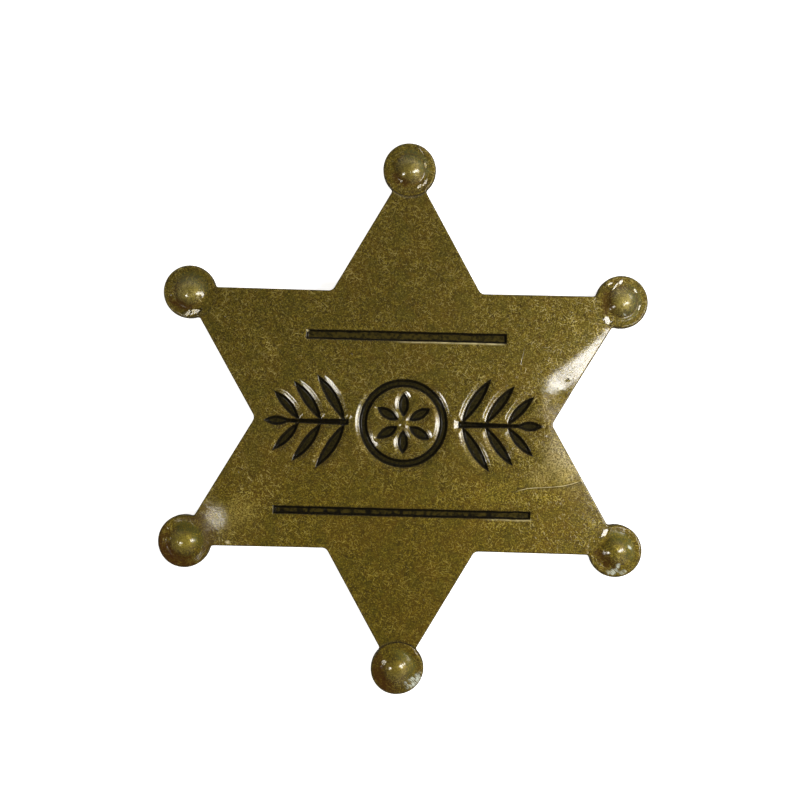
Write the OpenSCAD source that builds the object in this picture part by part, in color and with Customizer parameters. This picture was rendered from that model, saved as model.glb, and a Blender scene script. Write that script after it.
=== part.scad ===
// Six-pointed star badge, die-struck from one crowned brass sheet, with a
// domed disc on every point and a plain closed brooch pin on its back.
//
// Millimetres. +Z is out of the badge's face, +Y is towards its top point.
// The origin is the middle of the bottom: the badge lies face up on the
// lower rims of its six discs, and the pin sits inside the crown's hollow.

/* [Star] */
// Distance from the centre to the middle of each disc, seen from the front
tip_centre_r = 31.7; // [26:0.05:38]
// Distance from the centre to the inner corners between the points
notch_r = 18.86; // [16:0.02:22]
// Distance from the centre to where the edges of a point would meet
point_r = 32.95; // [27:0.05:39]
// Radius that rounds each inner corner
notch_fillet = 0.85; // [0.3:0.05:2]
// Thickness of the brass sheet
sheet = 1.0; // [0.8:0.05:1.3]

/* [Crown] */
// Radius of the sphere that the back of the sheet follows
back_radius = 170; // [160:1:180]

/* [Discs on the points] */
// Radius of each disc
disc_r = 3.38; // [3:0.02:3.8]
// How far the disc's face stands above the sheet
disc_rise = 0.12; // [0.08:0.01:0.25]
// Radius that rounds the disc's front edge
disc_edge = 0.34; // [0.2:0.02:0.5]
// Radius of the dome in the middle of the disc
dome_r = 2.65; // [2.4:0.05:2.9]
// Height of the dome's top above the sheet
dome_rise = 0.9; // [0.75:0.05:1.05]
// Radius of the hollow pressed in behind the dome
dome_hollow = 1.55; // [1.3:0.05:1.7]
// Thickness of the sheet at the dome's top
dome_wall = 0.55; // [0.4:0.05:0.7]

/* [Rules] */
// Depth of the two rules below the face
rule_depth = 0.4; // [0.2:0.05:0.55]
// Length of the rule above the middle band
upper_len = 25.4; // [20:0.2:28]
// Width of the rule above the middle band
upper_w = 1.22; // [0.8:0.02:1.6]
// Height of the upper rule above the centre
upper_y = 10.72; // [9.5:0.02:12]
// Length of the rule below the middle band
lower_len = 32.75; // [26:0.25:35]
// Width of the rule below the middle band
lower_w = 1.0; // [0.6:0.02:1.4]
// Height of the lower rule, which is below the centre
lower_y = -11.67; // [-13:0.01:-10]
// How far both rules sit to the right of the middle
rule_shift = 0.15; // [0:0.05:0.5]

/* [Ornament] */
// Depth of the ornament below the face
orn_depth = 0.45; // [0.2:0.05:0.55]
// Height of the ornament's middle line
orn_y = -0.3; // [-1:0.05:1]
// Middle radius of the rosette's ring
ring_r = 5.1; // [4.6:0.05:5.4]
// Width of the rosette's ring
ring_w = 1.0; // [0.6:0.05:1.2]
// Distance from the rosette's middle to the inner end of a petal
petal_from = 0.85; // [0.7:0.05:1.2]
// Length of a petal
petal_len = 3.0; // [2.4:0.05:3.2]
// Width of a petal
petal_w = 1.3; // [0.8:0.05:1.5]
// Inner end of each spray's stem, from the middle
stem_from = 6.95; // [6.6:0.05:7.2]
// Outer end of each spray's stem, from the middle
stem_to = 15.4; // [14.8:0.05:15.8]
// Width of the stem at its inner end; it tapers to half of this
stem_w = 0.8; // [0.5:0.05:0.9]

/* [Brooch pin] */
// Height of the pin's middle line above the star's centre
pin_y = 6; // [0:0.5:7]
// Length of the pin's base bar
bar_len = 28; // [24:0.5:30]
// Width of the base bar
bar_w = 4.4; // [3.6:0.1:5]
// Thickness of the base bar
bar_t = 0.6; // [0.4:0.05:0.7]
// Gap between the base bar and the sheet
bar_gap = 0.05; // [0.03:0.01:0.1]
// Radius of the pin's wire
wire_r = 0.4; // [0.3:0.05:0.45]
// Height of the wire's middle above the table
wire_z = 1.2; // [1.05:0.05:1.3]
// Radius of the round ends that hold the wire
knuckle_r = 0.85; // [0.7:0.05:1]
// Distance of each round end from the middle
knuckle_x = 12; // [10:0.5:12.5]

/* [Hidden] */

brass = [0.44, 0.38, 0.17];
pin_brass = [0.52, 0.45, 0.24];

round_fn = 96;
crown_fn = 256;

points = 6;
top_radius = back_radius + sheet;
tilt = asin(tip_centre_r / top_radius);
// A disc's back stands a little behind the sheet's own back
disc_back = sheet + 0.08;
// Height of the sphere's centre that puts the discs' lowest rims on the table
crown_z = -((top_radius - disc_back) * cos(tilt) - disc_r * sin(tilt));

// One pair of leaves on each spray, from the rosette outwards
// columns: place on the stem, length, angle from the stem, outer bulge, inner bulge
LEAF_X = 0; LEAF_LEN = 1; LEAF_ANGLE = 2; LEAF_OUT = 3; LEAF_IN = 4;
leaves = [
    [ 7.4, 6.8, 58, 0.80, 0.54],
    [10.4, 6.1, 54, 0.76, 0.50],
    [13.2, 4.9, 48, 0.68, 0.46],
];
// How far a leaf's root sits off the stem's middle line, inside the stem
leaf_root = 0.12;
// The leaf at the end of a spray: where it starts, its length and its half width
end_leaf_x = 14.5;
end_leaf_len = 3.1;
end_leaf_half = 0.6;

function polar(r, a) = [r * cos(a), r * sin(a)];

// Points round one inner corner at angle a, rounded by radius f
// h is the angle between the corner's own radius and the edges beside it
function notch_arc(a, f, steps = 8) =
    let (
        tip = polar(point_r, a + 180 / points),
        corner = polar(notch_r, a),
        edge = tip - corner,
        along = [cos(a), sin(a)],
        h = acos(edge * along / norm(edge)),
        centre = corner + along * f / sin(h)
    )
    [for (i = [0:steps])
        let (t = a + 180 + (90 - h) * (1 - 2 * i / steps))
        centre + polar(f, t)];

// The star's outline, with a sharp corner at each point's end
module star_outline() {
    polygon([for (k = [0:points - 1])
        let (a = 360 / points * k)
        each concat(notch_arc(a, notch_fillet),
                    [polar(point_r, a + 180 / points)])]);
}

// The space between two spheres that share the crown's centre
module crown_shell(r_in, r_out) {
    translate([0, 0, crown_z]) difference() {
        sphere(r = r_out, $fn = crown_fn);
        sphere(r = r_in, $fn = crown_fn);
    }
}

// Puts its children on point k, with +Z square to the sheet and z = 0 on its face
module on_point(k) {
    translate([0, 0, crown_z])
        rotate([0, 0, 90 + 360 / points * k])
            rotate([0, tilt, 0])
                translate([0, 0, top_radius])
                    children();
}

// A disc with a rounded front edge and a dome in its middle
module domed_disc() {
    r_flat = disc_r - disc_edge;
    rotate_extrude($fn = round_fn) {
        translate([0, -disc_back]) square([r_flat, disc_back + disc_rise]);
        translate([0, -disc_back]) square([disc_r, disc_back + disc_rise - disc_edge]);
        intersection() {
            translate([r_flat, disc_rise - disc_edge]) circle(r = disc_edge, $fn = round_fn);
            translate([r_flat - disc_edge / 2, disc_rise - 1.5 * disc_edge]) square(2 * disc_edge);
        }
    }
    intersection() {
        translate([0, 0, dome_rise - dome_r]) sphere(r = dome_r, $fn = round_fn);
        translate([0, 0, -sheet / 2]) cylinder(r = disc_r - disc_edge, h = 3, $fn = round_fn);
    }
}

// The sphere that hollows the back of a dome
module dome_back() {
    translate([0, 0, dome_rise - dome_wall - dome_hollow]) sphere(r = dome_hollow, $fn = round_fn);
}

// A pointed leaf along +X between two arcs that bulge by b1 above and b2 below
module leaf(len, b1, b2) {
    r1 = (len * len / 4 + b1 * b1) / (2 * b1);
    r2 = (len * len / 4 + b2 * b2) / (2 * b2);
    intersection() {
        translate([len / 2, b1 - r1]) circle(r = r1, $fn = round_fn);
        translate([len / 2, r2 - b2]) circle(r = r2, $fn = round_fn);
    }
}

module rules_outline() {
    translate([rule_shift - upper_len / 2, upper_y - upper_w / 2]) square([upper_len, upper_w]);
    translate([rule_shift - lower_len / 2, lower_y - lower_w / 2]) square([lower_len, lower_w]);
}

// One spray of leaves, growing along +X
module spray() {
    polygon([[stem_from, -stem_w / 2], [stem_to, -stem_w / 4],
             [stem_to, stem_w / 4], [stem_from, stem_w / 2]]);
    for (row = leaves) {
        translate([row[LEAF_X], leaf_root])
            rotate(row[LEAF_ANGLE]) leaf(row[LEAF_LEN], row[LEAF_OUT], row[LEAF_IN]);
        translate([row[LEAF_X], -leaf_root])
            rotate(-row[LEAF_ANGLE]) leaf(row[LEAF_LEN], row[LEAF_IN], row[LEAF_OUT]);
    }
    translate([end_leaf_x, 0]) leaf(end_leaf_len, end_leaf_half, end_leaf_half);
}

// The rosette in its ring, with a spray on either side
module ornament_outline() {
    translate([0, orn_y]) {
        difference() {
            circle(r = ring_r + ring_w / 2, $fn = round_fn);
            circle(r = ring_r - ring_w / 2, $fn = round_fn);
        }
        for (k = [0:5])
            rotate(30 + 60 * k) translate([petal_from, 0])
                leaf(petal_len, petal_w / 2, petal_w / 2);
        spray();
        mirror([1, 0]) spray();
    }
}

// Presses an outline into the face to an even depth below the crown
module pressed(depth) {
    difference() {
        linear_extrude(height = 12) children();
        translate([0, 0, crown_z]) sphere(r = top_radius - depth, $fn = crown_fn);
    }
}

// The struck sheet: star, discs, rules and ornament in one piece
module star_plate() {
    color(brass) difference() {
        union() {
            intersection() {
                linear_extrude(height = 12) star_outline();
                crown_shell(back_radius, top_radius);
            }
            for (k = [0:points - 1]) on_point(k) domed_disc();
        }
        for (k = [0:points - 1]) on_point(k) dome_back();
        pressed(rule_depth) rules_outline();
        pressed(orn_depth) ornament_outline();
    }
}

// A round end along +X on a post that reaches up into the base bar
module knuckle(x, half_len, post_w) {
    // The post stops in the middle of the bar's thickness
    bar_mid = back_radius - bar_gap - bar_t / 2;
    post_top = crown_z + sqrt(bar_mid * bar_mid - x * x - pin_y * pin_y);
    translate([x - half_len, pin_y, wire_z]) rotate([0, 90, 0])
        cylinder(r = knuckle_r, h = 2 * half_len, $fn = round_fn);
    translate([x - half_len, pin_y - post_w / 2, wire_z])
        cube([2 * half_len, post_w, post_top - wire_z]);
}

// A bar's outline with round ends, along X round the origin
module bar_outline(len, w, steps = 12) {
    polygon([for (s = [0, 1])
        for (i = [0:steps])
            [(len - w) / 2 * (1 - 2 * s), 0] + polar(w / 2, 180 * (s + i / steps) - 90)]);
}

// The closed brooch pin: base bar, two posts and wire in one plain piece
module pin_back() {
    bar_out = back_radius - bar_gap;
    color(pin_brass) {
        intersection() {
            translate([0, pin_y, 0]) linear_extrude(height = 12) bar_outline(bar_len, bar_w);
            crown_shell(bar_out - bar_t, bar_out);
        }
        knuckle(-knuckle_x, 1.1, 1.4);
        knuckle(knuckle_x, 0.8, 1.4);
        translate([-knuckle_x, pin_y, wire_z]) rotate([0, 90, 0])
            cylinder(r = wire_r, h = 2 * knuckle_x + 1.4, $fn = round_fn);
        translate([knuckle_x + 1.4, pin_y, wire_z]) rotate([0, 90, 0])
            cylinder(r1 = wire_r, r2 = 0.1, h = 1, $fn = round_fn);
    }
}

star_plate();
pin_back();
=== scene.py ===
"""Star badge of struck, antiqued brass, lying face up on a pale surface.

Lengths in the shape code are millimetres and are turned into metres when a
mesh is made. +Z is out of the badge's face and +Y is towards its top point.
"""
import math

import bpy
import numpy as np
from mathutils import Matrix, Vector, geometry


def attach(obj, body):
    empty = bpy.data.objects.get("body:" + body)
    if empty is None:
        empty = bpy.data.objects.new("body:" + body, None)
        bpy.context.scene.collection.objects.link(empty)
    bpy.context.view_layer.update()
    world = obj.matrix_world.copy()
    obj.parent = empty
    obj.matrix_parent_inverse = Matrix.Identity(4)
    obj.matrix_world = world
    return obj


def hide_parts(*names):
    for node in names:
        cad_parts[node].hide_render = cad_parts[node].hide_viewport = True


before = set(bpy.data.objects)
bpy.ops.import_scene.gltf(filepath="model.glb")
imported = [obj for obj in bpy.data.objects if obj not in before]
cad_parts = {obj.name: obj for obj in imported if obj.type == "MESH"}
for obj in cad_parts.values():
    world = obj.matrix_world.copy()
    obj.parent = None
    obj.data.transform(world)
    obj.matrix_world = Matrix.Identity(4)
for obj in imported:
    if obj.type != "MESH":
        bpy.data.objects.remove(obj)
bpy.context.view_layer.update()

# ---------------------------------------------------------------- sizes (mm)
POINTS = 6
TIP_R = 31.7
NOTCH_R = 18.86
POINT_R = 32.95
NOTCH_FILLET = 0.85
NECK_FILLET = 0.55
DISC_R = 3.37
SHEET = 1.0
DISC_BACK = 1.08
R_TOP = 171.0
TILT = math.asin(TIP_R / R_TOP)
CROWN_Z = -((R_TOP - DISC_BACK) * math.cos(TILT) - DISC_R * math.sin(TILT))

EDGE_PLATE = 0.20
EDGE_DISC = 0.34
EDGE_BACK = 0.14
BACK_PLATE = 1.00
BACK_DISC = 1.05

UPPER_RULE = (0.15, 10.72, 25.4, 1.22)
LOWER_RULE = (0.08, -11.61, 32.6, 1.03)
RULE_DEPTH = 0.38

ORN_Y = -0.3
ORN_DEPTH = 0.50
RING_R, RING_W = 5.1, 1.0
PETAL_FROM, PETAL_LEN, PETAL_W = 0.85, 3.0, 1.3
STEM_FROM, STEM_TO, STEM_W = 6.95, 15.4, 0.8
LEAF_ROOT = 0.12
# place on the stem, length, angle from the stem, outer bulge, inner bulge
LEAVES = [
    (7.4, 6.8, 58, 0.80, 0.54),
    (10.4, 6.1, 54, 0.76, 0.50),
    (13.2, 4.9, 48, 0.68, 0.46),
]
END_LEAF = (14.5, 3.1, 0.6)

TIP_ANGLES = [math.radians(90 + 60 * k) for k in range(POINTS)]
# no two discs were struck at quite the same place: further out, and to the side
TIP_SHIFT = [0.26, 0.065, 0.09, -0.18, -0.11, -0.06]
TIP_ASIDE = [0.0, 0.14, 0.085, 0.0, -0.05, 0.0]
TIP_CENTRES = np.array([((TIP_R + d) * math.cos(a) - s * math.sin(a), (TIP_R + d) * math.sin(a) + s * math.cos(a))
                        for a, d, s in zip(TIP_ANGLES, TIP_SHIFT, TIP_ASIDE)])
# how strongly the crease shows where each disc crosses its point:
# top, upper left, lower left, bottom, lower right, upper right
CREASE = [1.0, 0.15, 0.0, 1.0, 0.12, 0.25]
# how much each disc dips where it runs out into its point, in the same order
NECK = np.array([1.0, 1.0, 0.15, 1.0, 1.0, 1.0])
# how softly each dome runs out into its disc, in the same order
SOFT = np.array([0.25, 0.7, 1.0, 1.0, 0.8, 0.2])
# slope of each brim away from its dome
BRIM = np.array([-0.05, -0.05, 0.0, -0.07, 0.0, 0.0])
# how far each dome leans from the crown, as slopes along X and Y, in the same order
DOME_LEAN = np.array([(0.05, -0.11), (0.04, -0.03), (0.05, 0.03), (0.10, -0.01), (-0.09, 0.05), (-0.01, 0.0)])
# whether the lean ends in the dome's wall on the side towards the badge's middle
SHORT_LEAN = np.array([False, False, True, False, True, False])

# ------------------------------------------------------------------ helpers


def smooth(a, b, x):
    """0 below a, 1 above b, and smooth between."""
    t = np.clip((x - a) / (b - a), 0.0, 1.0)
    return t * t * (3 - 2 * t)


class Lattice:
    """Smooth noise from -1 to 1 on a seeded lattice."""

    def __init__(self, seed, size=97):
        self.g = np.random.RandomState(seed).rand(size, size) * 2 - 1
        self.n = size

    def __call__(self, x, y):
        xi, yi = np.floor(x).astype(int), np.floor(y).astype(int)
        fx, fy = x - xi, y - yi
        sx = fx * fx * fx * (fx * (fx * 6 - 15) + 10)
        sy = fy * fy * fy * (fy * (fy * 6 - 15) + 10)
        n, g = self.n, self.g
        a, b = g[yi % n, xi % n], g[yi % n, (xi + 1) % n]
        c, d = g[(yi + 1) % n, xi % n], g[(yi + 1) % n, (xi + 1) % n]
        return (a + (b - a) * sx) * (1 - sy) + (c + (d - c) * sx) * sy


noise_a, noise_b, noise_c, noise_d = Lattice(11), Lattice(23), Lattice(37), Lattice(51)


def slope_table(rows, total):
    """Turns (distance, slope) rows into a height function that starts at -total and ends at 0."""
    s = np.array([r[0] for r in rows], float)
    g = np.array([r[1] for r in rows], float)
    step = np.diff(s)
    rise = np.concatenate([[0], np.cumsum(step * (g[1:] + g[:-1]) / 2)])
    k = total / rise[-1]
    g, rise = g * k, rise * k

    def height(x):
        x = np.asarray(x, float)
        i = np.clip(np.searchsorted(s, x) - 1, 0, len(s) - 2)
        d = np.clip(x - s[i], 0, step[i])
        h = rise[i] + g[i] * d + 0.5 * (g[i + 1] - g[i]) / step[i] * d * d
        return h - total

    return height


def hermite_table(rows):
    """A curve through (x, y, slope) rows."""
    x0 = np.array([r[0] for r in rows], float)
    y0 = np.array([r[1] for r in rows], float)
    m0 = np.array([r[2] for r in rows], float)

    def curve(x):
        x = np.clip(np.asarray(x, float), x0[0], x0[-1])
        i = np.clip(np.searchsorted(x0, x) - 1, 0, len(x0) - 2)
        h = x0[i + 1] - x0[i]
        t = (x - x0[i]) / h
        t2, t3 = t * t, t * t * t
        return (
            (2 * t3 - 3 * t2 + 1) * y0[i]
            + (t3 - 2 * t2 + t) * h * m0[i]
            + (-2 * t3 + 3 * t2) * y0[i + 1]
            + (t3 - t2) * h * m0[i + 1]
        )

    return curve


# Struck ornament: rounded floor, steep wall, a small step, then a wide soft shoulder
orn_profile = slope_table(
    [(-0.34, 0), (-0.26, 0.7), (-0.18, 1.5), (-0.10, 1.6), (-0.04, 1.0), (0.01, 0.45), (0.06, 0.36), (0.11, 0.18),
     (0.16, 0.16), (0.22, 0.33), (0.34, 0.38), (0.46, 0.33), (0.60, 0.12), (0.86, 0)], ORN_DEPTH)
# Rules: cut more squarely, with a narrow shoulder
rule_profile = slope_table(
    [(-0.24, 0), (-0.17, 1.4), (-0.08, 2.0), (-0.02, 1.0), (0.03, 0.36), (0.10, 0.12),
     (0.20, 0.16), (0.34, 0.08), (0.50, 0)], RULE_DEPTH)



def whole(rows):
    """The rise over all of the rows."""
    return sum((b[0] - a[0]) * (a[1] + b[1]) / 2 for a, b in zip(rows[:-1], rows[1:]))


# The disc from its middle out: a dome with a valley round its foot, or one that runs out softly
CRISP = [(0.0, 0.0), (0.4, -0.155), (0.8, -0.33), (1.1, -0.47), (1.35, -0.60), (1.55, -0.70), (1.70, -0.74),
         (1.80, -0.66), (1.90, -0.44), (2.00, -0.20), (2.10, -0.05), (2.20, 0.0), (2.30, -0.04),
         (2.40, -0.11), (2.48, -0.08), (2.58, 0.0), (3.60, 0.0)]
GENTLE = [(0.0, 0.0), (0.4, -0.155), (0.8, -0.33), (1.1, -0.45), (1.35, -0.54), (1.55, -0.58), (1.75, -0.50),
          (1.95, -0.33), (2.15, -0.17), (2.35, -0.06), (2.56, 0.0), (3.60, 0.0)]
crisp_dome = slope_table(CRISP, whole(CRISP))
gentle_dome = slope_table(GENTLE, whole(GENTLE))


def tip_profile(r, k):
    """Height of disc k above its brim's inner line, at r from its middle."""
    r = np.minimum(r, 3.6)
    dome = crisp_dome(r) * (1 - SOFT[k]) + gentle_dome(r) * SOFT[k]
    return dome + BRIM[k] * (np.maximum(r, 1.9) - 2.56)


# the same brim where it runs out into its point, with a crease and without one
neck_creased = hermite_table(
    [(2.56, 0.0, -0.08), (2.90, -0.030, -0.08), (3.22, -0.070, -0.18), (3.36, -0.120, -0.30),
     (3.40, -0.125, 0.0), (3.47, -0.080, 0.75), (3.60, -0.018, 0.15), (3.74, 0.0, 0.0)])
neck_plain = hermite_table([(2.56, 0.0, -0.04), (2.90, -0.009, -0.02), (3.40, -0.009, 0.022), (3.74, 0.0, 0.0)])
hollow_profile = hermite_table(
    [(r, -1.22 + math.sqrt(1.55**2 - r * r), -r / math.sqrt(1.55**2 - r * r)) for r in (0.0, 0.4, 0.8, 1.1, 1.3, 1.4)]
    + [(1.55, -0.86, -1.7), (1.68, -1.01, -0.6), (1.80, -BACK_DISC, 0.0)])


# ------------------------------------------------- distances to the pressings


def sd_box(x, y, cx, cy, w, h):
    dx, dy = np.abs(x - cx) - w / 2, np.abs(y - cy) - h / 2
    return np.hypot(np.maximum(dx, 0), np.maximum(dy, 0)) + np.minimum(np.maximum(dx, dy), 0)


def sd_lens(x, y, length, b1, b2):
    """A pointed leaf along +X from the origin, bulging by b1 above and b2 below."""
    r1 = (length * length / 4 + b1 * b1) / (2 * b1)
    r2 = (length * length / 4 + b2 * b2) / (2 * b2)
    c1, c2, cx = b1 - r1, r2 - b2, length / 2
    l1, l2 = np.hypot(x - cx, y - c1) + 1e-12, np.hypot(x - cx, y - c2) + 1e-12
    d1, d2 = l1 - r1, l2 - r2
    q1x, q1y = cx + (x - cx) * r1 / l1, c1 + (y - c1) * r1 / l1
    q2x, q2y = cx + (x - cx) * r2 / l2, c2 + (y - c2) * r2 / l2
    on1 = np.hypot(q1x - cx, q1y - c2) <= r2
    on2 = np.hypot(q2x - cx, q2y - c1) <= r1
    d = np.minimum(np.hypot(x, y), np.hypot(x - length, y))
    d = np.minimum(d, np.where(on1, np.abs(d1), 1e9))
    d = np.minimum(d, np.where(on2, np.abs(d2), 1e9))
    return np.where(np.maximum(d1, d2) < 0, -d, d)


def sd_stem(x, y):
    """The stem's tapering stroke, as an uneven capsule cut square enough at its inner end."""
    t = np.clip((x - STEM_FROM) / (STEM_TO - STEM_FROM), 0, 1)
    px = STEM_FROM + t * (STEM_TO - STEM_FROM)
    half = STEM_W / 2 * (1 - 0.5 * t)
    inner = sd_box(x, y, (STEM_FROM + 9.0) / 2, 0, 9.0 - STEM_FROM, STEM_W * 0.97)
    return np.minimum(np.hypot(x - np.maximum(px, STEM_FROM + 0.4), y) - half, np.where(x < 8, inner, 1e9))


def soft_min(a, b, k):
    h = np.clip(0.5 + 0.5 * (b - a) / k, 0, 1)
    return b * (1 - h) + a * h - k * h * (1 - h)


def inside(u, v, pts):
    """Whether each place is inside the outline."""
    a, b = pts, np.roll(pts, -1, axis=0)
    got = np.zeros(len(u), bool)
    for (ax, ay), (bx, by) in zip(a, b):
        if ay == by:
            continue
        cross = (ay > v) != (by > v)
        got ^= cross & (u < (bx - ax) * (v - ay) / (by - ay) + ax)
    return got


def turned(x, y, cx, cy, deg):
    a = math.radians(deg)
    dx, dy = x - cx, y - cy
    return dx * math.cos(a) + dy * math.sin(a), -dx * math.sin(a) + dy * math.cos(a)


def sd_ornament(u, v):
    x, y = np.abs(u), v - ORN_Y
    r = np.hypot(x, y)
    s = np.abs(r - RING_R) - RING_W / 2
    for k in range(6):
        px, py = turned(u, y, 0, 0, 30 + 60 * k)
        s = soft_min(s, sd_lens(px - PETAL_FROM, py, PETAL_LEN, PETAL_W / 2, PETAL_W / 2), 0.12)
    spray = sd_stem(x, y)
    for place, length, angle, out, inn in LEAVES:
        px, py = turned(x, y, place, LEAF_ROOT, angle)
        spray = soft_min(spray, sd_lens(px, py, length, out, inn), 0.16)
        px, py = turned(x, y, place, -LEAF_ROOT, -angle)
        spray = soft_min(spray, sd_lens(px, py, length, inn, out), 0.16)
    spray = soft_min(spray, sd_lens(x - END_LEAF[0], y, END_LEAF[1], END_LEAF[2], END_LEAF[2]), 0.16)
    s = soft_min(s, spray, 0.12)
    # the die's edge isn't quite even
    return s + 0.016 * noise_c(u * 0.9 + 7, v * 0.9) + 0.008 * noise_d(u * 2.7, v * 2.7 + 5)


LEAF_TIPS = [(END_LEAF[0] + END_LEAF[1], 0.0)] + [
    (place + length * math.cos(math.radians(angle)), LEAF_ROOT + length * math.sin(math.radians(angle)))
    for place, length, angle, _, _ in LEAVES]


def leaf_tip(u, v):
    """Distance to the nearest leaf's tip."""
    x, y = np.abs(u), np.abs(v - ORN_Y)
    return np.min([np.hypot(x - tx, y - ty) for tx, ty in LEAF_TIPS], axis=0)


def sd_rules(u, v):
    s = np.minimum(sd_box(u, v, *UPPER_RULE), sd_box(u, v, *LOWER_RULE))
    return s + 0.022 * noise_c(u * 0.55, v * 0.3 + 3) + 0.014 * noise_d(u * 1.9 + 4, v * 1.2)


# Long scratches: points along the middle line, half width, depth, raised lip
SCRATCHES = [
    ([(14.0, -8.80), (14.9, -8.42), (15.8, -8.18), (16.7, -8.06), (17.6, -8.00), (19.0, -7.90), (20.4, -7.74), (21.7, -7.40), (22.9, -6.95)], 0.075, 0.032, 0.012),
    ([(-18.6, 11.7), (-17.8, 10.55), (-16.8, 9.5), (-15.8, 8.3), (-14.9, 7.15)], 0.07, 0.014, 0.004),
    ([(15.16, 10.0), (15.0, 8.9), (14.75, 7.8), (14.6, 6.6)], 0.07, 0.012, 0.004),
    ([(10.4, 14.0), (10.85, 13.7), (11.3, 13.3)], 0.08, 0.018, 0.006),
    ([(-3.1, 22.4), (-2.2, 21.5), (-1.7, 20.3)], 0.06, 0.010, 0.003),
    ([(-20.3, -9.4), (-19.2, -9.9), (-18.3, -10.1)], 0.06, 0.012, 0.003),
]
# Small knocks: place, radius, depth
PITS = [(20.85, 5.76, 0.10, 0.05), (18.0, -1.4, 0.10, 0.035), (-6.64, 8.3, 0.10, 0.03),
        (-22.9, 12.6, 0.12, 0.035), (3.2, -22.6, 0.11, 0.03), (23.4, 14.6, 0.10, 0.03), (-1.4, 16.1, 0.09, 0.025)]
# Flat spots knocked or polished onto the discs: place, half length, half width,
# turn in degrees, and the way that the spot faces, as slopes along X and Y
FACETS = [
    (26.60, 17.95, 0.85, 0.16, 56, 0.33, 0.0),
    (27.20, 18.35, 0.40, 0.28, 20, 0.33, 0.0),
    (25.80, 18.08, 0.55, 0.11, 22, 0.33, 0.0),
    (25.55, 13.40, 0.75, 0.36, -55, 0.31, -0.02),
    (25.90, -13.55, 0.80, 0.34, 50, 0.30, -0.01),
    (-27.15, 13.10, 1.20, 0.40, 18, 0.34, 0.0),
    (-27.70, 13.00, 0.50, 0.26, 60, 0.34, 0.0),
    (-24.4, 17.05, 0.22, 0.12, -45, 0.34, 0.0),
    (1.38, 29.92, 0.58, 0.22, 32, 0.33, 0.0),
    (2.00, 30.42, 0.58, 0.22, 56, 0.33, 0.0),
    (1.98, 32.62, 0.46, 0.15, -70, 0.28, -0.01),
    (1.45, 34.30, 0.80, 0.085, -50, 0.33, 0.0),
    (29.05, 17.28, 0.46, 0.13, -50, 0.33, 0.0),
    (29.62, 15.20, 0.46, 0.12, 75, 0.31, 0.0),
    (-1.69, -30.65, 0.42, 0.32, 60, -0.27, -0.17),
    (0.64, -31.02, 0.46, 0.13, 78, 0.34, 0.0),
    (-29.89, 15.27, 0.18, 0.14, 0, -0.27, -0.17),
    (-29.21, -15.61, 0.15, 0.11, 90, -0.27, -0.17),
    (-1.03, 30.45, 0.17, 0.14, 60, -0.27, -0.17),
]
# Where a point was pushed up a little from behind: place, reach along and across, turn, height
BULGES = [(-22.10, -11.75, 1.45, 1.6, 214, 0.152)]
# Where the sheet starts to bend down at the right: points along that line
BEND = [(27.9, 18.0), (26.5, 15.9), (25.3, 14.0), (24.1, 12.05), (22.7, 10.7), (21.6, 9.7), (20.5, 8.7), (19.4, 7.9),
        (18.4, 7.2), (17.3, 6.0), (16.8, 4.2), (16.9, 2.2), (17.3, 0.2), (18.2, -2.0), (19.6, -4.6), (21.4, -7.6), (23.3, -9.9)]


def along_scratch(u, v, line):
    """Distance from a scratch's middle line, and how far along it the nearest point is, from 0 to 1."""
    pts = np.array(line)
    seg = np.diff(pts, axis=0)
    ln = np.hypot(seg[:, 0], seg[:, 1])
    at = np.concatenate([[0], np.cumsum(ln)])
    best, where = np.full(np.shape(u), 1e9), np.zeros(np.shape(u))
    for i in range(len(seg)):
        dx, dy = u - pts[i, 0], v - pts[i, 1]
        t = np.clip((dx * seg[i, 0] + dy * seg[i, 1]) / ln[i] ** 2, 0, 1)
        d = np.hypot(dx - t * seg[i, 0], dy - t * seg[i, 1])
        where = np.where(d < best, (at[i] + t * ln[i]) / at[-1], where)
        best = np.minimum(best, d)
    return best, where


# --------------------------------------------------------- the front surface


def nearest_tip(u, v):
    d = np.hypot(u[..., None] - TIP_CENTRES[:, 0], v[..., None] - TIP_CENTRES[:, 1])
    k = np.argmin(d, axis=-1)
    return k, np.take_along_axis(d, k[..., None], -1)[..., 0]


BEND_ROWS = [(0.0, 0.0), (0.3, 0.02), (0.6, 0.05), (0.9, 0.09), (1.3, 0.132), (1.8, 0.155), (2.5, 0.155), (2.9, 0.12),
             (3.3, 0.07), (3.8, 0.035), (5.0, 0.02), (9.0, 0.02)]
BEND_DROP = whole(BEND_ROWS)
bend_slope = slope_table(BEND_ROWS, BEND_DROP)


def bend_height(u, v):
    """How far the sheet has dropped to the right of the bend line."""
    d, t = along_scratch(u, v, BEND)
    border = np.array(BEND + [(60.0, -9.9), (60.0, 18.0)])
    right_side = inside(u.ravel(), v.ravel(), border).reshape(np.shape(u))
    d = np.where(right_side, np.minimum(d, 9.0), 0.0)
    strength = smooth(0.02, 0.17, t) * (1 - 0.58 * smooth(0.46, 0.60, t)) * (1 - smooth(0.74, 1.0, t))
    return -(bend_slope(d) + BEND_DROP) * strength * smooth(3.1, 4.4, nearest_tip(u, v)[1])


def bulge_height(u, v):
    total = np.zeros(np.shape(u))
    for cx, cy, a, b, turn, high in BULGES:
        x, y = turned(u, v, cx, cy, turn)
        total = total + high * np.exp(-0.5 * ((x / a) ** 2 + (y / b) ** 2))
    return total


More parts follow.
